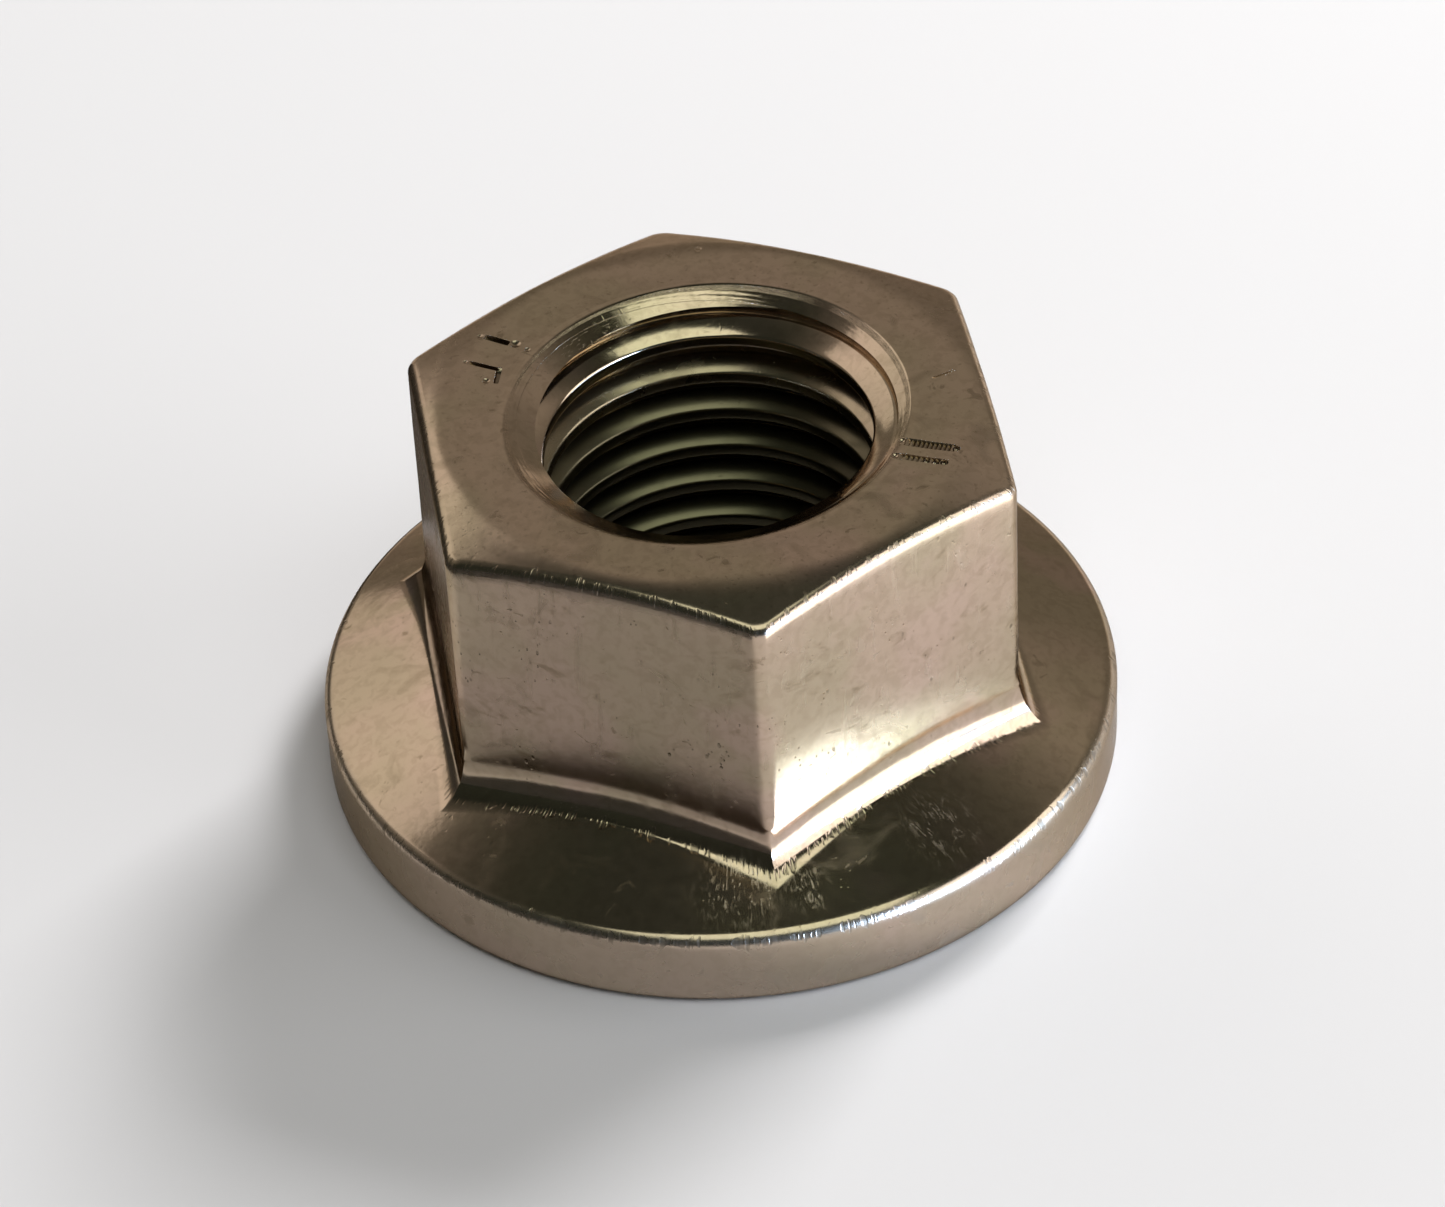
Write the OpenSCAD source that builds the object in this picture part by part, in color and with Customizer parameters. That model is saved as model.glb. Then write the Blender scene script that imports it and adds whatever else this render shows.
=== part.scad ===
// Hexagon lock nut with a forged flange, M16 x 2.
// The bearing face lies on z = 0, the thread axis is +Z, and two of the flats face along X.

/* [Hexagon] */
// Width across the flats
across_flats = 23.8; // [22.5:0.1:25]
// Width across the rounded corners, less than the sharp hexagon's
across_corners = 27.2; // [26.8:0.1:27.4]
// Height of the whole nut over its bearing face
nut_height = 17.8; // [15:0.1:20]

/* [Top chamfer] */
// Diameter of the flat top face, where the chamfer starts
top_face_d = 22.5; // [20:0.1:23.4]
// Slope of the chamfer against the top face
chamfer_angle = 16; // [12:1:30]

/* [Flange] */
// Outer diameter of the flange
flange_d = 34.4; // [33:0.1:37]
// Height of the rim's corner, where the wall and the conical top would meet
rim_height = 3.5; // [3:0.1:4.4]
// Slope of the flange's conical top
flange_angle = 21; // [15:1:25]
// Rounding of the rim's top edge
rim_top_r = 0.45; // [0.2:0.05:0.8]
// Rounding of the rim's bottom edge
rim_bottom_r = 0.55; // [0.2:0.05:0.9]

/* [Fillet between hexagon and flange] */
// Radius of the hollow at the foot of each flat
fillet_r = 2.8; // [2:0.1:4]
// How far the foot of the hollow stands out from the flat
fillet_reach = 0.6; // [0.3:0.05:0.9]

/* [Thread and countersinks] */
// Wall diameter of the bore, the thread's minor diameter
minor_d = 13.9; // [13.8:0.05:14.2]
// Countersink diameter at the top face
top_sink_d = 17.2; // [16:0.1:18]
// Countersink diameter at the bearing face
base_sink_d = 17.2; // [16:0.1:18]
// Angle across each countersink
sink_angle = 120; // [90:5:120]

/* [Hidden] */
$fn = 96;

flat = across_flats / 2;
corner = across_corners / 2;
rim = flange_d / 2;
// One step that the cutting shapes run past what they cut
past = 1;
// How far the rim's round stands proud of the cone, so that the two cross instead of just touching
lap = 0.002;

// Height of the flange's cone at a distance from the axis
function cone_z(r) = rim_height + (rim - r) * tan(flange_angle);

// Foot of the hollow: its distance from the axis, and its height at mid flat and at the corner
foot = flat + fillet_reach;
foot_corner = foot / cos(30);
foot_mid_z = cone_z(foot);
foot_corner_z = cone_z(foot_corner);

// The foot follows the cone, so the hollow is swept on an arc through mid flat and both corners
foot_half = foot * tan(30);
foot_sag = foot_mid_z - foot_corner_z;
sweep_r = (foot_half * foot_half + foot_sag * foot_sag) / (2 * foot_sag);
sweep_z = foot_mid_z - sweep_r;

// Centre of the hollow's own arc, measured from the sweep's axis
hollow_turn = acos(1 - fillet_reach / fillet_r);
hollow_c = sweep_r + fillet_r * sin(hollow_turn);
hollow_far = sweep_r + nut_height;

// The rounded corners flare out with the hollows, from this height down
flare_half = flat * tan(30);
flare_z = sweep_z + sqrt(hollow_c * hollow_c - flare_half * flare_half);

// Chamfer height lost at the rounded corner
chamfer_drop = (corner - top_face_d / 2) * tan(chamfer_angle);

// Solid disc of the flange: round rim edges, conical top, plain bearing face
module flange_blank() {
    rise = tan(flange_angle);
    slant = sqrt(1 + rise * rise);
    touch = rim_top_r - lap;
    edge_r = rim - rim_top_r;
    edge_z = cone_z(edge_r) - touch * slant;
    inner = flat - past;
    rotate_extrude() {
        polygon([
            [0, 0],
            [rim - rim_bottom_r, 0],
            [rim, rim_bottom_r],
            [rim, edge_z],
            [edge_r, edge_z],
            [edge_r + touch * rise / slant, edge_z + touch / slant],
            [inner, cone_z(inner)],
            [0, cone_z(inner)]
        ]);
        translate([edge_r, edge_z])
            circle(rim_top_r);
        translate([rim - rim_bottom_r, rim_bottom_r])
            circle(rim_bottom_r);
    }
}

// Turned column of the hexagon: chamfered top, round corners, flare into the flange
module column_blank() {
    root_z = rim_bottom_r + past;
    rotate_extrude() {
        polygon([
            [0, root_z],
            [corner, root_z],
            [corner, nut_height - chamfer_drop],
            [top_face_d / 2, nut_height],
            [0, nut_height]
        ]);
        difference() {
            translate([0, root_z])
                square([foot_corner + fillet_reach / 2, flare_z - root_z]);
            translate([corner + fillet_r, flare_z])
                circle(fillet_r);
        }
    }
}

// What one flat takes away: a plane face that turns into the hollow along its arched foot
module flat_cut() {
    translate([0, 0, sweep_z])
        rotate([0, 90, 0])
            rotate_extrude() {
                translate([hollow_c, flat])
                    square([hollow_far - hollow_c, foot_corner]);
                translate([hollow_c - fillet_r, flat + fillet_r])
                    square([hollow_far - hollow_c + fillet_r, foot_corner - fillet_r]);
                translate([hollow_c, flat + fillet_r])
                    circle(fillet_r);
            }
}

module hexagon() {
    difference() {
        column_blank();
        for (i = [0:5])
            rotate([0, 0, 60 * i])
                flat_cut();
    }
}

// Bore at the thread's minor diameter, opened by a countersink at each end
module bore() {
    slope = tan(sink_angle / 2);
    base_depth = (base_sink_d - minor_d) / 2 / slope;
    top_depth = (top_sink_d - minor_d) / 2 / slope;
    rotate_extrude()
        polygon([
            [0, -past],
            [base_sink_d / 2 + past * slope, -past],
            [minor_d / 2, base_depth],
            [minor_d / 2, nut_height - top_depth],
            [top_sink_d / 2 + past * slope, nut_height + past],
            [0, nut_height + past]
        ]);
}

// One forged and tapped piece
module flange_nut() {
    color([0.47, 0.41, 0.35])
        difference() {
            union() {
                flange_blank();
                hexagon();
            }
            bore();
        }
}

flange_nut();
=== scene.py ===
import math
import bpy
import numpy as np
from mathutils import Matrix, Vector


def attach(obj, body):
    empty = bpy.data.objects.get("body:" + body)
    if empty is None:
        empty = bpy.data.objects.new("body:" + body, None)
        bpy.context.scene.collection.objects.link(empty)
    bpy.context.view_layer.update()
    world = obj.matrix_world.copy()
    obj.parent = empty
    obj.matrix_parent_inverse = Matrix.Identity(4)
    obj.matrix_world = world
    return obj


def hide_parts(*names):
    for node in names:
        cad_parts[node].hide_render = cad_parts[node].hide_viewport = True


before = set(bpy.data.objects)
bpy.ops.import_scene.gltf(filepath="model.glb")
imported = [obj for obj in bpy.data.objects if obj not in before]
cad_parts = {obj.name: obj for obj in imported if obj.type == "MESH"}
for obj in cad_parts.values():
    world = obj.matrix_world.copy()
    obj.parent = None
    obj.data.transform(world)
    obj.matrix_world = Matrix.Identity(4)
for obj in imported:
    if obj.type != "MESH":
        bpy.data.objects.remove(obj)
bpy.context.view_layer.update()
mm = 0.001
print("frame loaded")


# nut body: columns of points round the axis, each column a closed profile of (radius, height)

nutSize = {  # millimetres and degrees, the driving sizes are the part's own
    "acrossFlats": 23.8, "acrossCorners": 27.2, "height": 17.8,
    "topFace": 22.5, "chamferSlope": 16.0,
    "flange": 34.4, "rimHeight": 3.5, "flangeSlope": 21.0,
    "rimTopRound": 0.58, "rimUneven": 0.25, "rimTurn": -20.0, "rimBottomRound": 0.55,
    "hollow": 2.8, "hollowReach": 0.6, "hollowTurn": 38.0,
    "topSink": 17.2, "baseSink": 17.2, "sinkAngle": 120.0, "threadRoot": 16.0,
    "chamferSoft": 5.0, "chamferShare": 3.2, "edgeSoft": 0.58, "topSinkSoft": 0.26, "baseSinkSoft": 0.12,
    "footSoft": 0.35, "footWide": 1.9, "footPower": 1.6,  # the crease round the hexagon's foot
    "creaseShare": 0.29, "creaseGap": 0.06, "creaseFrom": 3.4, "creaseTo": 7.5,
    "cornerSoft": 0.08, "cornerFlare": 1.7, "cornerCrisp": 0.11, "crispFrom": 12.5, "crispRun": 5.0,
    "squeeze": 0.21, "squeezeTurn": 44.0,  # the countersink is pressed out of round, which locks the nut
    "dent": 0.012, "dentSize": 9.0, "ripple": 0.004, "rippleSize": 2.6, "topWave": 0.012, "topWaveSize": 5.0,
    "columnsPerFlat": 76, "columnGather": 1.35, "flowRadius": 12.0, "seed": 7,
    "rows": {  # points along each run of the profile
        "sink": 4, "top": 10, "bend": 6, "chamfer": 5, "topEdge": 7, "flat": 15, "hollow": 14, "crease": 6,
        "cone": 16, "rimTop": 8, "rimWall": 6, "rimBase": 7, "base": 10, "baseEdge": 3, "bore": 8,
        "sinkWall": 2,
    },
    "gather": {"top": 0.3, "chamfer": 0.4, "flat": 0.6, "cone": 0.4, "rimWall": 0.4, "base": 0.4},
}
flat = nutSize["acrossFlats"] / 2
corner = nutSize["acrossCorners"] / 2
rim = nutSize["flange"] / 2
top = nutSize["height"]
hollow = nutSize["hollow"]
half30 = math.tan(math.radians(30))
coneRise = math.tan(math.radians(nutSize["flangeSlope"]))
chamferRise = math.tan(math.radians(nutSize["chamferSlope"]))
sinkRun = math.tan(math.radians(nutSize["sinkAngle"] / 2))


def coneZ(r):
    return nutSize["rimHeight"] + (rim - r) * coneRise


# the hollow at each flat's foot is swept on an arch that follows the flange's cone
foot = flat + nutSize["hollowReach"]
footHalf = foot * half30
footSag = coneZ(foot) - coneZ(foot / math.cos(math.radians(30)))
sweepR = (footHalf ** 2 + footSag ** 2) / (2 * footSag)
sweepZ = coneZ(foot) - sweepR
hollowC = sweepR + hollow * math.sin(math.acos(1 - nutSize["hollowReach"] / hollow))
flareZ = sweepZ + math.sqrt(hollowC ** 2 - (flat * half30) ** 2)


def softMin(a, b, blend):
    h = max(blend - abs(a - b), 0) / blend
    return min(a, b) - h * h * blend / 4


def hexRadius(z, phi):  # distance to the flat, its hollow or the rounded corner, phi from mid flat
    n = nutSize
    x = flat
    for _ in range(5):
        gap = hollowC - math.hypot(x * math.tan(phi), z - sweepZ)
        x = flat if gap <= 0 else flat + hollow - math.sqrt(hollow ** 2 - min(gap, hollow) ** 2)
    drop = min(max(flareZ - z, 0), hollow)
    rounded = corner + n["cornerFlare"] * (hollow - math.sqrt(hollow ** 2 - drop ** 2))
    rounded += n["cornerCrisp"] * min(max((n["crispFrom"] - z) / n["crispRun"], 0), 1)  # towards the foot
    return softMin(x / math.cos(phi), rounded, n["cornerSoft"])


def footHeight(phi):  # where the hexagon meets the cone, by halving
    low, high = nutSize["creaseFrom"], nutSize["creaseTo"]
    for _ in range(40):
        mid = (low + high) / 2
        if hexRadius(mid, phi) > rim - (mid - nutSize["rimHeight"]) / coneRise:
            high = mid
        else:
            low = mid
    return (low + high) / 2


def roundOff(a, b, c, radius, count):  # an arc in place of corner b of the path a, b, c
    a, b, c = (np.array(p, float) for p in (a, b, c))
    u, v = (a - b) / np.linalg.norm(a - b), (c - b) / np.linalg.norm(c - b)
    half = math.acos(max(-1, min(1, float(u @ v)))) / 2
    cut = radius / math.tan(half)
    mid = b + (u + v) / np.linalg.norm(u + v) * radius / math.sin(half)
    s, e = b + u * cut - mid, b + v * cut - mid
    turn = math.pi - 2 * half
    blends = [(math.sin((1 - k) * turn) * s + math.sin(k * turn) * e) / math.sin(turn)
              for k in np.linspace(0, 1, count)]
    return [tuple(mid + blend) for blend in blends]


def between(a, b, count, gather=0.0):  # points inside a straight run, drawn towards its ends by gather
    out = []
    for i in range(1, count + 1):
        w = i / (count + 1)
        w += gather * (0.5 - 0.5 * math.cos(math.pi * w) - w)
        out.append((a[0] + (b[0] - a[0]) * w, a[1] + (b[1] - a[1]) * w))
    return out


def topSinkRadius(theta):
    turn = theta - math.radians(nutSize["squeezeTurn"])
    return nutSize["topSink"] / 2 + nutSize["squeeze"] * math.cos(2 * turn)


def profile(theta):  # returns the points and which of them are the top edge, the foot and the rim's edges
    n, rows, gather = nutSize, nutSize["rows"], nutSize["gather"]
    phi = math.radians((math.degrees(theta) + 30) % 60 - 30)
    wall = n["threadRoot"] / 2
    sinkTop, sinkBase = topSinkRadius(theta), n["baseSink"] / 2
    straight = hexRadius(top - 3, phi)
    shoulder, edge = (n["topFace"] / 2, top), (straight, top - (straight - n["topFace"] / 2) * chamferRise)
    tangentZ = sweepZ + math.sqrt(hollowC ** 2 - min(straight * math.sin(abs(phi)), footHalf) ** 2)
    footZ = footHeight(phi)
    footPoint = (hexRadius(footZ, phi), footZ)
    cone = (rim - 2, coneZ(rim - 2))
    highWall = (wall, top - (sinkTop - wall) / sinkRun)
    lowWall = (wall, (sinkBase - wall) / sinkRun)

    sink = roundOff(highWall, (sinkTop, top), shoulder, n["topSinkSoft"], rows["sink"])
    soft = min(n["chamferSoft"], (straight - shoulder[0]) * n["chamferShare"])
    bend = roundOff((sinkTop, top), shoulder, edge, soft, rows["bend"])
    topEdge = roundOff(shoulder, edge, (straight, tangentZ), n["edgeSoft"], rows["topEdge"])
    path = sink + between(sink[-1], bend[0], rows["top"], gather["top"]) + bend
    path += between(bend[-1], topEdge[0], rows["chamfer"], gather["chamfer"]) + topEdge
    marks = {"topEdge": len(path) - rows["topEdge"] // 2 - 1}
    path += between(topEdge[-1], (straight, tangentZ), rows["flat"], gather["flat"])
    # the crease at the foot is wider at the corners
    crease = n["footSoft"] + n["footWide"] * abs(phi / math.radians(30)) ** n["footPower"]
    share = 1 - (n["creaseShare"] * crease + n["creaseGap"]) / (tangentZ - footZ)
    for i in range(rows["hollow"]):
        turn = math.radians(n["hollowTurn"] * i / (rows["hollow"] - 1))
        w = math.sin(turn) / math.sin(math.radians(n["hollowTurn"]))
        z = tangentZ + (footZ - tangentZ) * w * share
        path.append((hexRadius(z, phi), z))
    path += roundOff(path[-1], footPoint, cone, crease, rows["crease"])
    rimRound = n["rimTopRound"] + n["rimUneven"] * max(0, math.cos(theta - math.radians(n["rimTurn"])))
    rimTop = roundOff(cone, (rim, n["rimHeight"]), (rim, 1), rimRound, rows["rimTop"])
    rimBase = roundOff((rim, 2), (rim, 0), (rim - 3, 0), n["rimBottomRound"], rows["rimBase"])
    path += between(path[-1], rimTop[0], rows["cone"], gather["cone"])
    marks["foot"] = len(path) - rows["cone"] - rows["crease"] // 2
    path += rimTop + between(rimTop[-1], rimBase[0], rows["rimWall"], gather["rimWall"]) + rimBase
    marks["rim"] = len(path) - rows["rimWall"] - rows["rimBase"] - rows["rimTop"] // 2
    baseEdge = roundOff((rim, 0), (sinkBase, 0), lowWall, n["baseSinkSoft"], rows["baseEdge"])
    path += between(rimBase[-1], baseEdge[0], rows["base"], gather["base"]) + baseEdge
    path += [lowWall] + between(lowWall, highWall, rows["bore"]) + [highWall]
    path += between(highWall, sink[0], rows["sinkWall"])
    return path, marks


def columnAngles():
    w = np.linspace(-1, 1, nutSize["columnsPerFlat"], endpoint=False)
    share = np.sign(w) * (1 - (1 - np.abs(w)) ** nutSize["columnGather"])  # closer together at the corners
    phi = np.degrees(np.arctan(share * half30))
    return np.radians(np.concatenate([phi + 60 * k for k in range(6)]))


def waves(points, size, seed):  # a smooth uneven value, about -1 to 1, from a few fixed sine waves
    rng = np.random.default_rng(seed)
    total = np.zeros(len(points))
    for _ in range(7):
        d = rng.normal(size=3)
        d *= 2 * math.pi / size / np.linalg.norm(d) * rng.uniform(0.6, 1.5)
        total += np.sin(points @ d + rng.uniform(0, 2 * math.pi))
    return total / 3


def storeVector(mesh, name, values):
    layer = mesh.attributes.new(name, "FLOAT_VECTOR", "POINT")
    layer.data.foreach_set("vector", values.astype(np.float32).ravel())


def makeObject(name, points, faces):
    mesh = bpy.data.meshes.new(name)
    mesh.from_pydata((points * mm).tolist(), [], faces.tolist() if hasattr(faces, "tolist") else faces)
    made = bpy.data.objects.new(name, mesh)
    bpy.context.scene.collection.objects.link(made)
    return made


def latticeFaces(columns, rows):
    i, j = np.meshgrid(np.arange(columns), np.arange(rows), indexing="ij")
    i2, j2 = (i + 1) % columns, (j + 1) % rows
    return np.stack([i * rows + j, i * rows + j2, i2 * rows + j2, i2 * rows + j], -1).reshape(-1, 4)


def buildBody():
    angles = columnAngles()
    made = [profile(t) for t in angles]
    rows = np.array([p for p, _ in made])
    marks = made[0][1]
    count, depth = rows.shape[:2]
    run = np.zeros((count, depth))
    run[:, 1:] = np.cumsum(np.hypot(*np.moveaxis(np.diff(rows, axis=1), 2, 0)), axis=1)
    r, z, t = rows[..., 0].ravel(), rows[..., 1].ravel(), np.repeat(angles, depth)
    away = np.stack([np.cos(t), np.sin(t), np.zeros_like(t)], 1)
    points = away * r[:, None] + np.stack([0 * z, 0 * z, z], 1)
    n = nutSize
    # dents fade out towards the rim's edges, the bore and the bearing face
    inRim = np.clip((rim - 0.2 - r) / 0.6, 0, 1) * np.clip((r - 9.5) / 2, 0, 1) * np.clip(z / 0.5, 0, 1)
    uneven = n["dent"] * waves(points, n["dentSize"], n["seed"])
    uneven += n["ripple"] * waves(points, n["rippleSize"], n["seed"] + 1)
    onTop = np.clip((z - top + 0.4) / 0.4, 0, 1) * np.clip((r - 8.9) / 0.6, 0, 1)
    sunk = onTop * n["topWave"] * (1 + waves(points, n["topWaveSize"], n["seed"] + 2))
    points += away * (uneven * inRim)[:, None]
    points[:, 2] -= sunk
    body = makeObject("flangeNut", points, latticeFaces(count, depth))
    flow = away * n["flowRadius"]
    flow[:, 2] = run.ravel()
    storeVector(body.data, "flow", flow)
    lines = [(run - run[:, marks[k]][:, None]).ravel() for k in ("topEdge", "foot", "rim")]
    storeVector(body.data, "edges", np.stack(lines, 1))
    return body, count, depth


nut, columnCount, rowCount = buildBody()
print("body lattice:", columnCount, "columns of", rowCount)


# thread: a rounded trapezoid carried along a helix by geometry nodes

threadSize = {  # millimetres, angles in degrees
    "pitch": 2.0, "crest": 6.95, "sunkTo": 8.12, "flankAngle": 30.0, "rootFlat": 0.25, "crestRound": 0.22,
    "pointsPerTurn": 150, "roundPoints": 4, "phase": 0.42, "spareTurns": 2,
    # the shapes that cut it off along the countersinks, just inside their walls
    "cutterHeight": 14.0, "cutterGap": 0.012, "cutterFlare": 6.0, "cutterTip": 0.3, "cutterBlunt": 0.5,
    "cutterNib": 0.2, "farFromEdges": 9.0,
}


def addNode(tree, kind, label="", **settings):
    node = tree.nodes.new(kind)
    node.label = label
    for key, value in settings.items():
        setattr(node, key, value)
    return node


def groupTree(name, floats, ints=()):
    tree = bpy.data.node_groups.new(name, "GeometryNodeTree")
    for label in floats:
        tree.interface.new_socket(label, in_out="INPUT", socket_type="NodeSocketFloat")
    for label in ints:
        tree.interface.new_socket(label, in_out="INPUT", socket_type="NodeSocketInt")
    tree.interface.new_socket("Material", in_out="INPUT", socket_type="NodeSocketMaterial")
    tree.interface.new_socket("Geometry", in_out="OUTPUT", socket_type="NodeSocketGeometry")
    return tree, addNode(tree, "NodeGroupInput"), addNode(tree, "NodeGroupOutput")


def endTree(tree, given, result, geometry):
    real = addNode(tree, "GeometryNodeRealizeInstances")
    paint = addNode(tree, "GeometryNodeSetMaterial")
    tree.links.new(geometry, real.inputs[0])
    tree.links.new(real.outputs[0], paint.inputs["Geometry"])
    tree.links.new(given.outputs["Material"], paint.inputs["Material"])
    tree.links.new(paint.outputs[0], result.inputs[0])


def threadTree():
    floats = ["Turns", "Height", "Crest Radius", "Depth", "Half Crest", "Half Base", "Start", "Crest Round"]
    tree, given, result = groupTree("threadTurns", floats, ["Points Per Turn", "Round Points"])
    link = tree.links.new
    spiral = addNode(tree, "GeometryNodeCurveSpiral", "one lap for each turn")
    link(given.outputs["Points Per Turn"], spiral.inputs["Resolution"])
    link(given.outputs["Turns"], spiral.inputs["Rotations"])
    link(given.outputs["Crest Radius"], spiral.inputs["Start Radius"])
    link(given.outputs["Crest Radius"], spiral.inputs["End Radius"])
    link(given.outputs["Height"], spiral.inputs["Height"])
    spiral.inputs["Reverse"].default_value = False
    upright = addNode(tree, "GeometryNodeSetCurveNormal", mode="Z_UP")
    link(spiral.outputs[0], upright.inputs["Curve"])
    section = addNode(tree, "GeometryNodeCurvePrimitiveQuadrilateral", "crest and flanks", mode="POINTS")
    halves = {"Point 1": ("Depth", "Half Base", -1), "Point 2": ("Depth", "Half Base", 1),
              "Point 3": (None, "Half Crest", 1), "Point 4": (None, "Half Crest", -1)}
    for socket, (across, along, side) in halves.items():
        place = addNode(tree, "ShaderNodeCombineXYZ", socket)
        if across:
            link(given.outputs[across], place.inputs["X"])
        turned = addNode(tree, "ShaderNodeMath", operation="MULTIPLY")
        turned.inputs[1].default_value = side
        link(given.outputs[along], turned.inputs[0])
        link(turned.outputs[0], place.inputs["Y"])
        link(place.outputs[0], section.inputs[socket])
    soften = addNode(tree, "GeometryNodeFilletCurve", "worn crest", mode="POLY")
    link(section.outputs[0], soften.inputs["Curve"])
    link(given.outputs["Round Points"], soften.inputs["Count"])
    link(given.outputs["Crest Round"], soften.inputs["Radius"])
    soften.inputs["Limit Radius"].default_value = True
    sweep = addNode(tree, "GeometryNodeCurveToMesh")
    link(upright.outputs[0], sweep.inputs["Curve"])
    link(soften.outputs[0], sweep.inputs["Profile Curve"])
    sweep.inputs["Fill Caps"].default_value = True
    shift = addNode(tree, "ShaderNodeCombineXYZ")
    link(given.outputs["Start"], shift.inputs["Z"])
    move = addNode(tree, "GeometryNodeTransform")
    link(sweep.outputs[0], move.inputs["Geometry"])
    link(shift.outputs[0], move.inputs["Translation"])
    endTree(tree, given, result, move.outputs[0])
    return tree


def growNodes(name, tree, values):  # runs a tree on an empty holder and returns its plain mesh object
    holder = bpy.data.objects.new(name, bpy.data.meshes.new(name + "Holder"))
    bpy.context.scene.collection.objects.link(holder)
    mod = holder.modifiers.new("nodes", "NODES")
    mod.node_group = tree
    for item in tree.interface.items_tree:
        if item.item_type == "SOCKET" and item.in_out == "INPUT":
            mod[item.identifier] = values[item.name]
    mesh = bpy.data.meshes.new_from_object(holder.evaluated_get(bpy.context.evaluated_depsgraph_get()))
    holder.modifiers.clear()
    holder.data = mesh
    return holder


def combine(body, tool, operation):  # a boolean, applied at once; the tool is removed
    mod = body.modifiers.new("cut", "BOOLEAN")
    mod.object = tool
    mod.operation = operation
    mod.solver = "MANIFOLD"
    mesh = bpy.data.meshes.new_from_object(body.evaluated_get(bpy.context.evaluated_depsgraph_get()))
    body.modifiers.clear()
    body.data = mesh
    bpy.data.objects.remove(tool)


def revolve(name, outline, angles):  # closed solid from (radius, height) points, both ends on the axis
    rings = outline[1:-1]
    points = [(0, 0, outline[0](0)[1])]
    for t in angles:
        for ring in rings:
            r, z = ring(t)
            points.append((r * math.cos(t), r * math.sin(t), z))
    points.append((0, 0, outline[-1](0)[1]))
    n, k, last = len(angles), len(rings), len(points) - 1
    faces = []
    for i in range(n):
        a, b = 1 + i * k, 1 + (i + 1) % n * k
        faces.append((0, b, a))
        faces += [(a + j, b + j, b + j + 1, a + j + 1) for j in range(k - 1)]
        faces.append((a + k - 1, b + k - 1, last))
    return makeObject(name, np.array(points, float), faces)


def buildThread(steel):
    s = threadSize
    slope = math.tan(math.radians(s["flankAngle"]))
    atRoot = (s["pitch"] - s["rootFlat"]) / 2
    root = nutSize["threadRoot"] / 2
    turns = math.ceil(top / s["pitch"]) + s["spareTurns"]
    values = {
        "Turns": float(turns), "Height": turns * s["pitch"] * mm, "Crest Radius": s["crest"] * mm,
        "Depth": -(s["sunkTo"] - s["crest"]) * mm, "Half Crest": (atRoot - (root - s["crest"]) * slope) * mm,
        "Half Base": (atRoot + (s["sunkTo"] - root) * slope) * mm, "Start": (s["phase"] - s["pitch"]) * mm,
        "Crest Round": s["crestRound"] * mm, "Points Per Turn": s["pointsPerTurn"],
        "Round Points": s["roundPoints"], "Material": steel,
    }
    ridge = growNodes("thread", threadTree(), values)
    ridge.data.flip_normals()  # the sweep leaves it inside out
    angles = columnAngles()
    away, flare, tip, blunt = s["cutterHeight"], s["cutterFlare"], s["cutterTip"], s["cutterBlunt"]
    baseR = nutSize["baseSink"] / 2 + s["cutterGap"]

    def topR(t):
        return topSinkRadius(t) + s["cutterGap"]

    upper = revolve("upperSink", [
        lambda t: (0, top - (nutSize["topSink"] / 2 - blunt) / sinkRun),
        lambda t: (tip, top - (topR(t) - tip) / sinkRun),
        lambda t: (topR(t), top),
        lambda t: (topR(t) + flare, top + flare / sinkRun),
        lambda t: (topR(t) + flare, top + away),
        lambda t: (0, top + away)], angles)
    combine(ridge, upper, "DIFFERENCE")
    lower = revolve("lowerSink", [
        lambda t: (0, -away),
        lambda t: (baseR + flare, -away),
        lambda t: (baseR + flare, -flare / sinkRun),
        lambda t: (baseR, 0),
        lambda t: (tip, (baseR - tip) / sinkRun),
        lambda t: (0, (baseR - blunt) / sinkRun + s["cutterNib"])], angles)
    combine(ridge, lower, "DIFFERENCE")
    points = np.array([v.co for v in ridge.data.vertices]) / mm
    flow = points.copy()
    flow[:, :2] *= nutSize["flowRadius"] / np.hypot(points[:, 0], points[:, 1])[:, None]
    storeVector(ridge.data, "flow", flow)
    storeVector(ridge.data, "edges", np.full((len(points), 3), s["farFromEdges"]))
    return ridge


# press marks: the jaws that squeezed the top left bars and pips at two opposite corners

markSize = {  # millimetres
    "over": 0.3, "pipSides": 14, "pipRings": 9,
    # shares of a bar's length, depth and width
    "endRun": 7, "endDepth": 0.3, "floorHalf": 0.34, "mouthHalf": 0.62,
    "bars": [  # x, y of both ends, width, depth, teeth, height of a tooth
        (7.74, -3.72, 9.80, -4.60, 0.62, 0.12, 12, 0.065), (7.25, -4.56, 9.23, -5.41, 0.48, 0.11, 10, 0.060),
        (-8.48, 6.88, -7.52, 6.20, 0.36, 0.20, 0, 0), (-9.38, 5.28, -8.12, 4.50, 0.27, 0.17, 0, 0),
        (-8.12, 4.66, -8.43, 3.62, 0.27, 0.17, 0, 0), (9.62, 0.20, 10.62, 0.52, 0.13, 0.05, 0, 0),
    ],
    "pips": [  # x, y, radius, depth
        (-8.70, 7.00, 0.15, 0.07), (-7.26, 6.12, 0.27, 0.10), (-6.82, 5.62, 0.15, 0.05),
        (-9.52, 5.36, 0.13, 0.06), (-8.80, 3.88, 0.19, 0.08), (7.62, -3.62, 0.17, 0.10),
        (7.16, -4.52, 0.18, 0.10), (9.74, -4.56, 0.16, 0.22), (8.38, -5.10, 0.13, 0.20),
        (8.72, -5.26, 0.15, 0.22), (9.08, -5.36, 0.17, 0.22), (1.38, 11.20, 0.26, 0.10),
    ],
}


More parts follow.
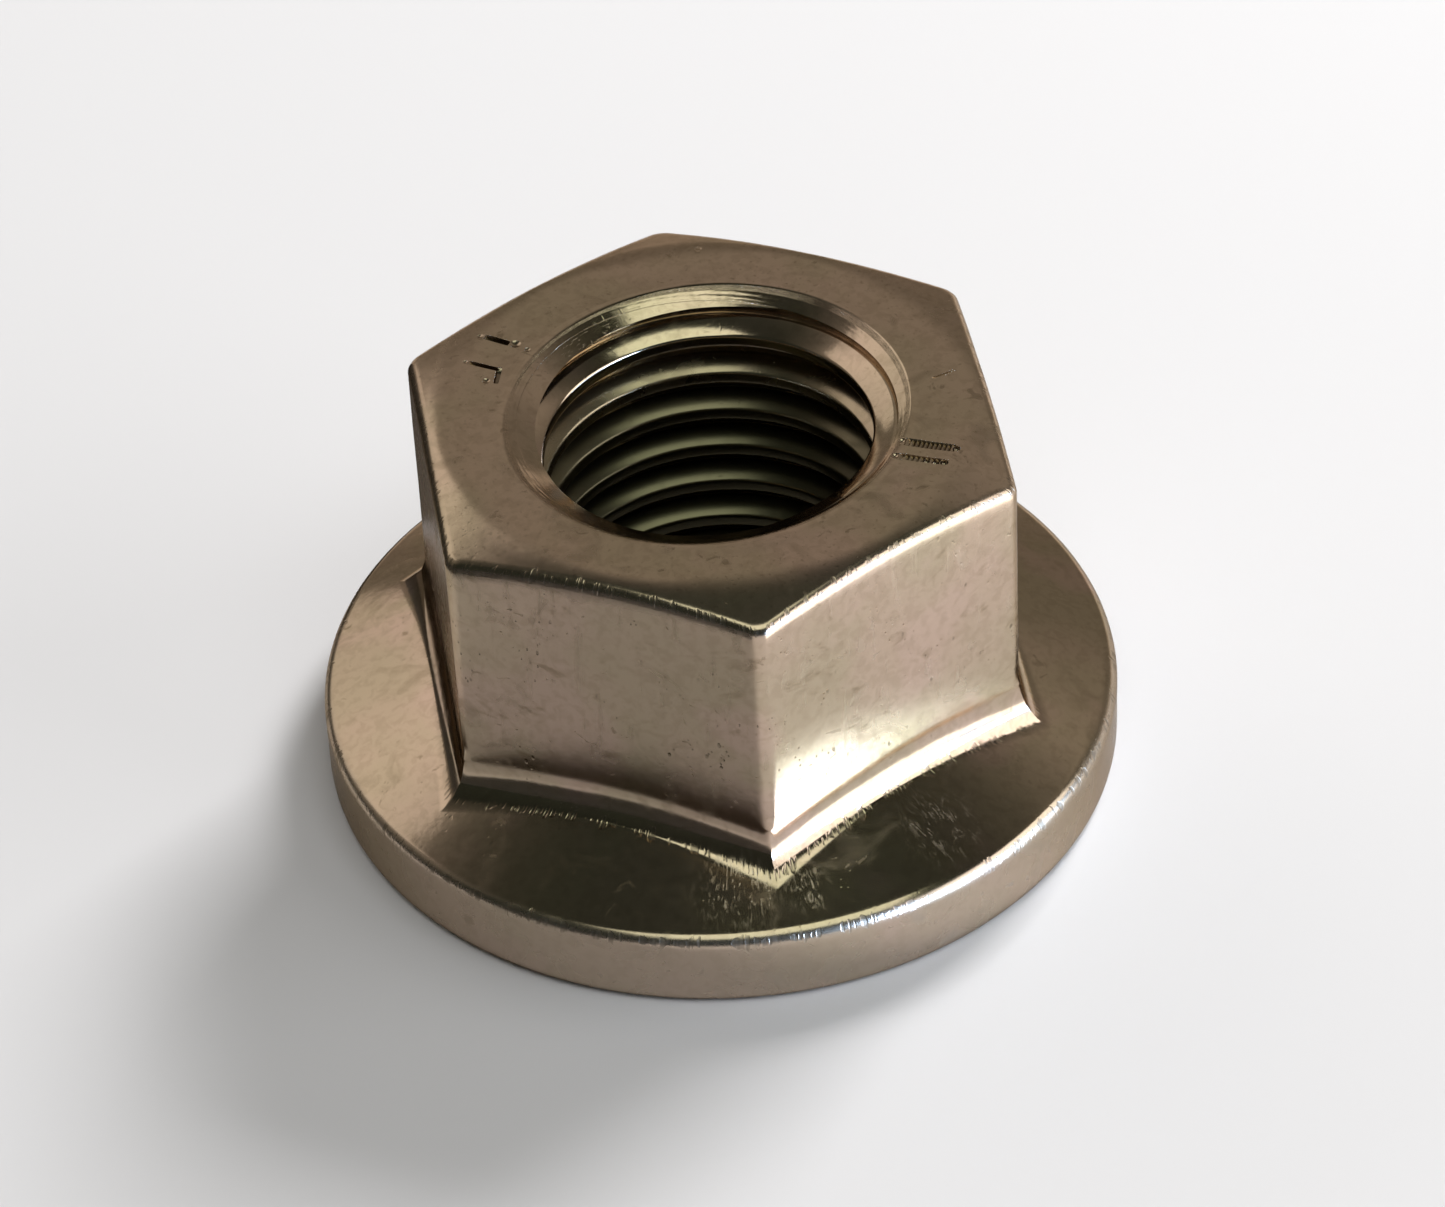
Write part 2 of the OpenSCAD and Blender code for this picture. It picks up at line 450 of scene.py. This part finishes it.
def buildBar(ax, ay, bx, by, width, depth, teeth, tooth):
    m = markSize
    count = max(teeth * 2, 8)
    start, along = np.array([ax, ay]), np.array([bx - ax, by - ay])
    across = np.array([-along[1], along[0]]) / np.hypot(*along)
    points = []
    for i in range(count + 1):
        w = i / count
        ends = min(1, w * m["endRun"], (1 - w) * m["endRun"])
        floor = top - depth * (m["endDepth"] + (1 - m["endDepth"]) * ends) + (tooth if teeth and i % 2 else 0)
        mid = start + along * w
        for side in (-1, 1):
            low = mid + across * side * width * m["floorHalf"]
            high = mid + across * side * width * m["mouthHalf"]
            points += [(*low, floor), (*high, top + m["over"])]
    faces = []
    for i in range(count):  # each station holds low left, high left, low right, high right
        a, b = i * 4, (i + 1) * 4
        faces += [(a, a + 2, b + 2, b), (a + 2, a + 3, b + 3, b + 2)]
        faces += [(a + 3, a + 1, b + 1, b + 3), (a + 1, a, b, b + 1)]
    faces += [(0, 1, 3, 2), (count * 4, count * 4 + 2, count * 4 + 3, count * 4 + 1)]
    return makeObject("pressBar", np.array(points), faces)


def buildPip(x, y, radius, depth):
    ball = (radius ** 2 + depth ** 2) / (2 * depth)
    angles = np.linspace(0, 2 * math.pi, markSize["pipSides"], endpoint=False)
    rises = np.linspace(0, math.pi, markSize["pipRings"])
    rings = [lambda t, a=a: (ball * math.sin(a), -ball * math.cos(a)) for a in rises]
    pip = revolve("pressPip", rings, angles)
    pip.data.transform(Matrix.Translation((x * mm, y * mm, (top - depth + ball) * mm)))
    return pip


def pressMarks(body):
    tools = [buildBar(*bar) for bar in markSize["bars"]] + [buildPip(*pip) for pip in markSize["pips"]]
    whole = tools[0]
    for tool in tools[1:]:
        combine(whole, tool, "UNION")
    combine(body, whole, "DIFFERENCE")


# finish: plated steel, with stains, pits, drag streaks, combed edges, an oily bore with painted shade that
# deepens down it, and painted shade on the press marks' floors

finish = {  # linear colours; radii and lengths in millimetres; relief in micrometres
    "plating": (0.55, 0.42, 0.315), "olive": (0.50, 0.405, 0.285), "rosy": (0.575, 0.43, 0.335),
    # grime darkens the pits and combed edges; the same colour is painted shade on the floors of the press
    # marks
    "stain": (0.27, 0.20, 0.125), "grimeAndShade": (0.075, 0.06, 0.035),
    # the bore gets an oily tint with painted shade, darker further down
    "oilAndShade": (0.30, 0.25, 0.16), "deepShadedOil": (0.11, 0.10, 0.06), "oilAndShadeShare": 0.93,
    "dull": (0.47, 0.385, 0.305), "worn": (0.60, 0.48, 0.39), "edgeTint": (0.50, 0.45, 0.40),
    "combLength": 1.3, "combShort": -0.45, "combFade": 0.14, "combBehind": 0.2,
    "scuffs": [(7.4, -12.8, 4.4, 2.6), (-1.6, -14.7, 4.1, 2.7), (1.3, -15.2, 4.0, 1.5)],  # x, y, z, reach
    "sharpFrom": 32.0, "scuffCore": 0.2, "hairFrom": 0.48, "hairTo": 0.62,
    "pitsOffFlats": 0.25, "latheLines": 34.0, "latheDepth": 0.12,
    "zones": {  # what is measured, where it is 0, where it is 1; a zone is the product of its rows
        "bore": [("radius", 8.12, 7.94), ("height", 16.4, 13.2)],
        # where the painted shade down the bore deepens
        "depth": [("height", 15.6, 11.0)],
        "sink": [("radius", 8.95, 8.75), ("radius", 7.9, 8.1)],
        # the sunk floors of the press marks, which get painted shade
        "sunk": [
            ("height", 17.75, 17.69), ("radius", 11.15, 11.0), ("radius", 8.8, 9.0), ("height", 16.0, 16.5),
        ],
        "flats": [("height", 5.8, 8.2), ("steep", 0.6, 0.25), ("radius", 10.2, 10.8)],
        "top": [("height", 16.6, 17.2), ("radius", 8.6, 8.9)],
        "wall": [("radius", 16.75, 17.05)],
        "front": [("y", -5.0, -9.0)],
    },
    "clouds": {  # space, its scale, detail, distortion, shift, and for a mask where it is 0 and where it is 1
        "oliveArea": ("place", 0.13, 0.13, 0.13, 3.0, 0.0, 0.0, 0.40, 0.62),
        "rosyArea": ("place", 0.19, 0.19, 0.19, 3.0, 0.0, 3.0, 0.52, 0.68),
        "teeth": ("flow", 7.0, 7.0, 0.4, 1.0, 0.0, 0.0, 0.47, 0.60),
        "ragged": ("flow", 2.2, 2.2, 0.5, 3.0, 0.0, 4.0),
        "smudge": ("place", 0.42, 0.42, 0.42, 4.0, 1.3, 0.0, 0.54, 0.74),
        "stain": ("place", 1.25, 1.25, 1.7, 3.0, 0.8, 2.0, 0.66, 0.73),
        "streak": ("flow", 2.6, 2.6, 0.3, 4.0, 0.4, 0.0, 0.56, 0.72),
        "smear": ("flow", 0.8, 0.8, 1.5, 6.0, 0.5, 11.0, 0.58, 0.76),
        "speck": ("place", 5.0, 5.0, 5.0, 2.0, 0.0, 7.0, 0.62, 0.72),
        "mottle": ("place", 2.1, 2.1, 2.1, 6.0, 0.6, 13.0, 0.44, 0.64),
        "crowd": ("place", 0.5, 0.5, 0.5, 2.0, 0.0, 9.0, 0.50, 0.66),
        "hair": ("flow", 6.0, 6.0, 1.3, 5.0, 1.5, 5.0),
        "scuffEdge": ("place", 1.3, 1.3, 1.3, 4.0, 0.5, 17.0, 0.38, 0.52),
        "turning": ("flow", 0.9, 0.9, 5.0, 4.0, 0.0, 19.0),
        "swell": ("place", 0.75, 0.75, 0.75, 2.0, 0.0, 0.0),
        "grain": ("place", 5.2, 5.2, 5.2, 3.0, 0.0, 1.0),
        "drag": ("flow", 6.0, 6.0, 0.45, 3.0, 0.0, 6.0),
    },
    "pits": [  # space, its scale, where a pit is 0 and where it is 1
        ("flow", 1.9, 1.9, 1.1, 0.17, 0.08), ("place", 3.4, 3.4, 2.4, 0.19, 0.08),
    ],
    "cover": [  # mask, share, colour laid over, from the bottom up
        ("smudge", 0.30, "stain"), ("stain", 0.50, "stain"), ("streak", 0.10, "stain"),
        ("smear", 0.60, "stain"), ("topSpeck", 0.45, "stain"), ("mottle", 0.20, "stain"),
        ("wall", 0.50, "dull"), ("scuff", 0.55, "worn"), ("pitted", 0.50, "grimeAndShade"),
        # pits and combed edges get grime; the sunk floors of the press marks get painted shade
        ("comb", 0.40, "grimeAndShade"), ("sunk", 0.60, "grimeAndShade"),
    ],
    "roughness": 0.12, "dulling": [  # mask, roughness added
        ("smudge", 0.10), ("top", 0.08), ("flats", 0.11), ("streak", 0.06), ("stain", 0.12), ("wall", 0.15),
        ("scuff", 0.18), ("comb", 0.10), ("bore", 0.16),
    ],
    "relief": [  # mask, height
        ("swell", 7.0), ("grain", 1.3), ("drag", 0.9), ("pitted", -10.0), ("comb", -8.0), ("scuffHair", 1.2),
        ("turned", 7.0),
    ],
}


def calc(tree, operation, *values):
    node = addNode(tree, "ShaderNodeMath", operation=operation)
    for socket, value in zip(node.inputs, values):
        if isinstance(value, (int, float)):
            socket.default_value = value
        else:
            tree.links.new(value, socket)
    return node.outputs[0]


def product(tree, *values):
    total = values[0]
    for value in values[1:]:
        total = calc(tree, "MULTIPLY", total, value)
    return total


def fade(tree, value, low, high):  # 0 at low, 1 at high, smooth between
    node = addNode(tree, "ShaderNodeMapRange", interpolation_type="SMOOTHSTEP")
    tree.links.new(value, node.inputs["Value"])
    node.inputs["From Min"].default_value = low
    node.inputs["From Max"].default_value = high
    return node.outputs["Result"]


def scaled(tree, vector, x, y, z):
    node = addNode(tree, "ShaderNodeVectorMath", operation="MULTIPLY")
    tree.links.new(vector, node.inputs[0])
    node.inputs[1].default_value = (x, y, z)
    return node.outputs[0]


def cloud(tree, vector, detail=3.0, distortion=0.0, shift=0.0):
    node = addNode(tree, "ShaderNodeTexNoise")
    if shift:
        moved = addNode(tree, "ShaderNodeVectorMath", operation="ADD")
        tree.links.new(vector, moved.inputs[0])
        moved.inputs[1].default_value = (shift * 5, shift * 3, shift * 7)
        vector = moved.outputs[0]
    tree.links.new(vector, node.inputs["Vector"])
    node.inputs["Scale"].default_value = 1.0
    node.inputs["Detail"].default_value = detail
    node.inputs["Distortion"].default_value = distortion
    return node.outputs[0]


def cells(tree, vector):
    node = addNode(tree, "ShaderNodeTexVoronoi")
    tree.links.new(vector, node.inputs["Vector"])
    node.inputs["Scale"].default_value = 1.0
    return node.outputs["Distance"]


def tint(tree, factor, under, over):
    node = addNode(tree, "ShaderNodeMix", data_type="RGBA")
    tree.links.new(factor, node.inputs["Factor"])
    for socket, value in ((node.inputs["A"], under), (node.inputs["B"], over)):
        if isinstance(value, tuple):
            socket.default_value = (*value, 1)
        else:
            tree.links.new(value, socket)
    return node.outputs["Result"]


def readVector(tree, name):
    node = addNode(tree, "ShaderNodeAttribute", attribute_name=name)
    split = addNode(tree, "ShaderNodeSeparateXYZ", name)
    tree.links.new(node.outputs["Vector"], split.inputs[0])
    return node.outputs["Vector"], split.outputs


def placeMasks(tree):  # where on the nut a point lies
    spot = addNode(tree, "ShaderNodeTexCoord")
    place = scaled(tree, spot.outputs["Object"], 1 / mm, 1 / mm, 1 / mm)
    level = addNode(tree, "ShaderNodeVectorMath", "distance from the axis", operation="LENGTH")
    tree.links.new(scaled(tree, place, 1, 1, 0), level.inputs[0])
    split = addNode(tree, "ShaderNodeSeparateXYZ")
    tree.links.new(place, split.inputs[0])
    facing = addNode(tree, "ShaderNodeNewGeometry")
    upright = addNode(tree, "ShaderNodeSeparateXYZ")
    tree.links.new(facing.outputs["Normal"], upright.inputs[0])
    measured = {
        "radius": level.outputs["Value"], "height": split.outputs["Z"], "y": split.outputs["Y"],
        "steep": calc(tree, "ABSOLUTE", upright.outputs["Z"]),
    }
    masks = {}
    for name, rows in finish["zones"].items():
        masks[name] = product(tree, *(fade(tree, measured[what], low, high) for what, low, high in rows))
    return place, measured["radius"], masks


def platedSteel():
    f = finish
    steel = bpy.data.materials.new("platedSteel")
    steel.use_nodes = True
    tree = steel.node_tree
    tree.nodes.clear()
    link = tree.links.new
    place, radius, on = placeMasks(tree)
    flow, _ = readVector(tree, "flow")
    _, edge = readVector(tree, "edges")
    spaces = {"place": place, "flow": flow}

    for name, (space, x, y, z, detail, distortion, shift, *ends) in f["clouds"].items():
        on[name] = cloud(tree, scaled(tree, spaces[space], x, y, z), detail, distortion, shift)
        if ends:
            on[name] = fade(tree, on[name], *ends)

    # combed metal beside the edges: lines run across the edge, so they change only round the nut
    reach = calc(tree, "MULTIPLY_ADD", on["ragged"], f["combLength"], f["combShort"])
    beside = []
    for axis in ("X", "Y", "Z"):
        gap = calc(tree, "ABSOLUTE", edge[axis])
        beside.append(fade(tree, calc(tree, "SUBTRACT", reach, gap), 0.0, f["combFade"]))
    eased = calc(tree, "MULTIPLY_ADD", on["front"], 1 - f["combBehind"], f["combBehind"])
    beside[1] = product(tree, beside[1], eased)  # the foot's crease is combed mostly in front
    nearEdge = calc(tree, "MAXIMUM", calc(tree, "MAXIMUM", beside[0], beside[1]), beside[2])
    on["comb"] = product(tree, nearEdge, on["teeth"], calc(tree, "SUBTRACT", 1.0, on["bore"]))

    # wear on the open faces
    on["streak"] = product(tree, on["flats"], on["streak"])
    on["smear"] = product(tree, on["flats"], on["smear"])
    on["topSpeck"] = product(tree, on["speck"], on["top"])
    on["drag"] = product(tree, on["flats"], on["drag"])
    holes = []
    for space, x, y, z, low, high in f["pits"]:
        hole = fade(tree, cells(tree, scaled(tree, spaces[space], x, y, z)), low, high)
        holes.append(product(tree, on["crowd"], hole))
    thinned = calc(tree, "MULTIPLY_ADD", on["flats"], 1 - f["pitsOffFlats"], f["pitsOffFlats"])
    on["pitted"] = product(tree, calc(tree, "MAXIMUM", *holes), thinned)
    scuffed = None
    for x, y, z, reachOut in f["scuffs"]:
        away = addNode(tree, "ShaderNodeVectorMath", "distance from a scuff", operation="DISTANCE")
        link(place, away.inputs[0])
        away.inputs[1].default_value = (x, y, z)
        near = fade(tree, away.outputs["Value"], reachOut, reachOut * f["scuffCore"])
        scuffed = near if scuffed is None else calc(tree, "MAXIMUM", scuffed, near)
    scuffed = product(tree, scuffed, on["scuffEdge"])
    on["scuff"] = product(tree, scuffed, fade(tree, on["hair"], f["hairFrom"], f["hairTo"]))
    on["scuffHair"] = product(tree, scuffed, on["hair"])

    color = tint(tree, on["oliveArea"], f["plating"], f["olive"])
    color = tint(tree, on["rosyArea"], color, f["rosy"])
    for mask, share, over in f["cover"]:
        color = tint(tree, product(tree, on[mask], share), color, f[over])
    # the bore: an oily tint and painted shade that deepens further down
    oilAndShade = tint(tree, on["depth"], f["oilAndShade"], f["deepShadedOil"])
    color = tint(tree, product(tree, on["bore"], f["oilAndShadeShare"]), color, oilAndShade)

    rough = f["roughness"]
    for mask, more in f["dulling"]:
        rough = calc(tree, "MULTIPLY_ADD", on[mask], more, rough)

    lines = calc(tree, "SINE", calc(tree, "MULTIPLY", radius, f["latheLines"]))
    rings = calc(tree, "MULTIPLY_ADD", lines, f["latheDepth"], on["turning"])
    on["turned"] = product(tree, on["sink"], rings)
    relief = 0.0
    for mask, height in f["relief"]:
        relief = calc(tree, "MULTIPLY_ADD", on[mask], height, relief)
    bump = addNode(tree, "ShaderNodeBump")
    bump.inputs["Distance"].default_value = 1e-6  # relief is in micrometres
    link(relief, bump.inputs["Height"])

    skin = addNode(tree, "ShaderNodeBsdfPrincipled")
    out = addNode(tree, "ShaderNodeOutputMaterial")
    skin.inputs["Metallic"].default_value = 1.0
    skin.inputs["Specular Tint"].default_value = (*f["edgeTint"], 1)
    link(color, skin.inputs["Base Color"])
    link(rough, skin.inputs["Roughness"])
    link(bump.outputs[0], skin.inputs["Normal"])
    link(skin.outputs[0], out.inputs["Surface"])
    return steel


steel = platedSteel()
thread = buildThread(steel)
combine(nut, thread, "UNION")
pressMarks(nut)
print("thread cut:", len(nut.data.polygons), "faces")

nut.data.materials.clear()
nut.data.materials.append(steel)
nut.data.shade_smooth()
nut.data.set_sharp_from_angle(angle=math.radians(finish["sharpFrom"]))
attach(nut, "root")
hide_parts("flange_nut")


# studio: pale floor, dim warm room, soft boxes

studio = {  # metres, degrees; az runs counter-clockwise from +X as seen from above
    # name, from az, to az, from r, to r, outer edge's height, colour, glow; seen only in the metal
    "cards": [
        ("darkCard", 116.0, 244.0, 0.035, 0.50, 0.09, (0.03, 0.028, 0.025), 0.0),
        ("darkSlip", 112.0, 140.0, 0.0205, 0.036, 0.0006, (0.11, 0.10, 0.09), 0.0),
        ("whiteCard", -68.0, -8.0, 0.038, 0.10, 0.0006, (0.8, 0.8, 0.8), 2.2),
    ],
    "cardHeight": 0.0005, "cardTurns": 13,
    "floorRadius": 1.4, "floorSides": 96, "floorColor": (0.755, 0.76, 0.78),
    "paperRough": 0.9, "paperShine": 0.1,
    # name, az, el, distance, wide, high, radiance, colour, faces level, seen in the metal, lights the floor
    "boxes": [
        ("windowPanel", -20, 31, 0.42, 0.34, 0.22, 2.45, (1.0, 0.99, 0.98), True, True, True),
        ("windowSill", -45, 9, 0.40, 0.17, 0.12, 42.0, (0.40, 0.61, 1.0), True, True, False),
        ("windowSide", -19, 8, 0.40, 0.19, 0.10, 11.0, (0.42, 0.63, 1.0), True, True, False),
        ("keyBox", 47, 38, 0.60, 0.20, 0.20, 29.0, (1.0, 0.98, 0.97), False, False, True),
        ("backBox", 126, 34, 0.60, 0.40, 0.38, 0.62, (1.0, 0.94, 0.89), False, True, True),
        ("frontBox", -80, 69, 0.60, 0.50, 0.36, 1.5, (0.90, 1.0, 0.83), False, True, False),
        ("fillBox", -80, 69, 0.60, 0.50, 0.36, 3.0, (1.0, 0.99, 0.97), False, False, True),
    ],
    # radiance by height over the horizon (sine), on the camera's side and on the far side
    "nearSky": [(0.0, (0.056, 0.062, 0.050)), (0.12, (0.036, 0.042, 0.034)), (1.0, (0.020, 0.024, 0.019))],
    "farSky": [
        (0.0, (0.70, 0.64, 0.56)), (0.10, (0.65, 0.59, 0.52)), (0.14, (0.22, 0.20, 0.17)),
        (0.42, (0.22, 0.20, 0.17)), (0.66, (0.37, 0.335, 0.29)), (0.80, (0.15, 0.14, 0.12)),
        (0.88, (0.072, 0.072, 0.060)), (0.95, (0.054, 0.062, 0.050)),
    ],
    "nearSide": -0.15, "farSide": 0.45,  # y of the direction where one sky has given way to the other
}


def paperSkin(name, color):  # a plain matt material and its shader
    paper = bpy.data.materials.new(name)
    paper.use_nodes = True
    skin = paper.node_tree.nodes["Principled BSDF"]
    skin.inputs["Base Color"].default_value = (*color, 1)
    skin.inputs["Roughness"].default_value = studio["paperRough"]
    return paper, skin


def buildFloor():
    count = studio["floorSides"]
    turns = [2 * math.pi * i / count for i in range(count)]
    ring = [(studio["floorRadius"] * math.cos(t), studio["floorRadius"] * math.sin(t), 0) for t in turns]
    mesh = bpy.data.meshes.new("floor")
    mesh.from_pydata(ring, [], [tuple(range(count))])
    floor = bpy.data.objects.new("floor", mesh)
    bpy.context.scene.collection.objects.link(floor)
    paper, skin = paperSkin("palePaper", studio["floorColor"])
    skin.inputs["Specular IOR Level"].default_value = studio["paperShine"]
    mesh.materials.append(paper)


def buildCards():
    for name, start, end, near, far, rise, color, glow in studio["cards"]:
        turns = np.radians(np.linspace(start, end, studio["cardTurns"]))
        edges = ((near, studio["cardHeight"]), (far, rise))
        points = [(r * math.cos(t), r * math.sin(t), z) for t in turns for r, z in edges]
        mesh = bpy.data.meshes.new(name)
        faces = [(2 * i, 2 * i + 1, 2 * i + 3, 2 * i + 2) for i in range(len(turns) - 1)]
        mesh.from_pydata(points, [], faces)
        card = bpy.data.objects.new(name, mesh)
        bpy.context.scene.collection.objects.link(card)
        felt, skin = paperSkin(name, color)
        skin.inputs["Emission Color"].default_value = (1, 1, 1, 1)
        skin.inputs["Emission Strength"].default_value = glow
        mesh.materials.append(felt)
        card.visible_camera = False
        card.visible_shadow = False
        card.visible_diffuse = False


def buildBoxes():
    for name, az, el, distance, wide, high, radiance, color, level, mirrored, lights in studio["boxes"]:
        lamp = bpy.data.lights.new(name, "AREA")
        lamp.shape = "RECTANGLE"
        lamp.size, lamp.size_y = wide, high
        lamp.energy = radiance * math.pi * wide * high
        lamp.color = color
        box = bpy.data.objects.new(name, lamp)
        a, e = math.radians(az), math.radians(el)
        way = Vector((math.cos(a) * math.cos(e), math.sin(a) * math.cos(e), math.sin(e)))
        facing = Vector((math.cos(a), math.sin(a), 0)) if level else way
        box.location = way * distance
        box.rotation_euler = facing.to_track_quat("Z", "Y").to_euler()
        box.visible_camera = False
        box.visible_glossy = mirrored
        box.visible_diffuse = lights
        bpy.context.scene.collection.objects.link(box)


def skyRamp(tree, height, stops):
    ramp = addNode(tree, "ShaderNodeValToRGB", "brightness over the horizon")
    tree.links.new(height, ramp.inputs[0])
    while len(ramp.color_ramp.elements) < len(stops):
        ramp.color_ramp.elements.new(0.5)
    for stop, (at, color) in zip(ramp.color_ramp.elements, stops):
        stop.position = at
        stop.color = (*color, 1)
    return ramp.outputs[0]


def buildWorld():
    world = bpy.data.worlds.new("studioRoom")
    bpy.context.scene.world = world
    world.use_nodes = True
    tree = world.node_tree
    tree.nodes.clear()
    link = tree.links.new
    place = addNode(tree, "ShaderNodeTexCoord")
    split = addNode(tree, "ShaderNodeSeparateXYZ")
    link(place.outputs["Generated"], split.inputs[0])
    side = addNode(tree, "ShaderNodeMapRange", "from the near side to the far side")
    side.inputs["From Min"].default_value = studio["nearSide"]
    side.inputs["From Max"].default_value = studio["farSide"]
    link(split.outputs["Y"], side.inputs["Value"])
    mix = addNode(tree, "ShaderNodeMix", data_type="RGBA")
    link(side.outputs["Result"], mix.inputs["Factor"])
    link(skyRamp(tree, split.outputs["Z"], studio["nearSky"]), mix.inputs["A"])
    link(skyRamp(tree, split.outputs["Z"], studio["farSky"]), mix.inputs["B"])
    shine = addNode(tree, "ShaderNodeBackground")
    out = addNode(tree, "ShaderNodeOutputWorld")
    link(mix.outputs["Result"], shine.inputs["Color"])
    link(shine.outputs[0], out.inputs["Surface"])


buildFloor()
buildCards()
buildBoxes()
buildWorld()
print("studio set")


# camera, from the perspective fitted to the photograph

cameraFit = {  # degrees, millimetres, pixels of the 1445 wide picture
    "azimuth": -7.18, "elevation": 40.71, "roll": -2.93, "distance": 253.6, "right": -0.03, "up": 5.41,
    "focalPixels": 5793.0, "pictureWidth": 1445, "sensor": 36.0, "clipStart": 10.0,
}


def buildCamera():
    c = cameraFit
    az, el, roll = (math.radians(c[k]) for k in ("azimuth", "elevation", "roll"))
    back = Vector((math.sin(az) * math.cos(el), -math.cos(az) * math.cos(el), math.sin(el)))
    right = Vector((math.cos(az), math.sin(az), 0))
    up = back.cross(right)
    level, tilt = math.cos(roll), math.sin(roll)
    right, up = right * level + up * tilt, up * level - right * tilt
    lens = bpy.data.cameras.new("camera")
    lens.sensor_fit = "HORIZONTAL"
    lens.sensor_width = c["sensor"]
    lens.lens = c["focalPixels"] / c["pictureWidth"] * c["sensor"]
    lens.clip_start = c["clipStart"] * mm
    camera = bpy.data.objects.new("camera", lens)
    at = (right * c["right"] + up * c["up"] + back * c["distance"]) * mm
    camera.matrix_world = Matrix.Translation(at) @ Matrix((right, up, back)).transposed().to_4x4()
    bpy.context.scene.collection.objects.link(camera)
    bpy.context.scene.camera = camera


buildCamera()
bpy.context.scene.view_settings.view_transform = "Standard"
print("camera placed")
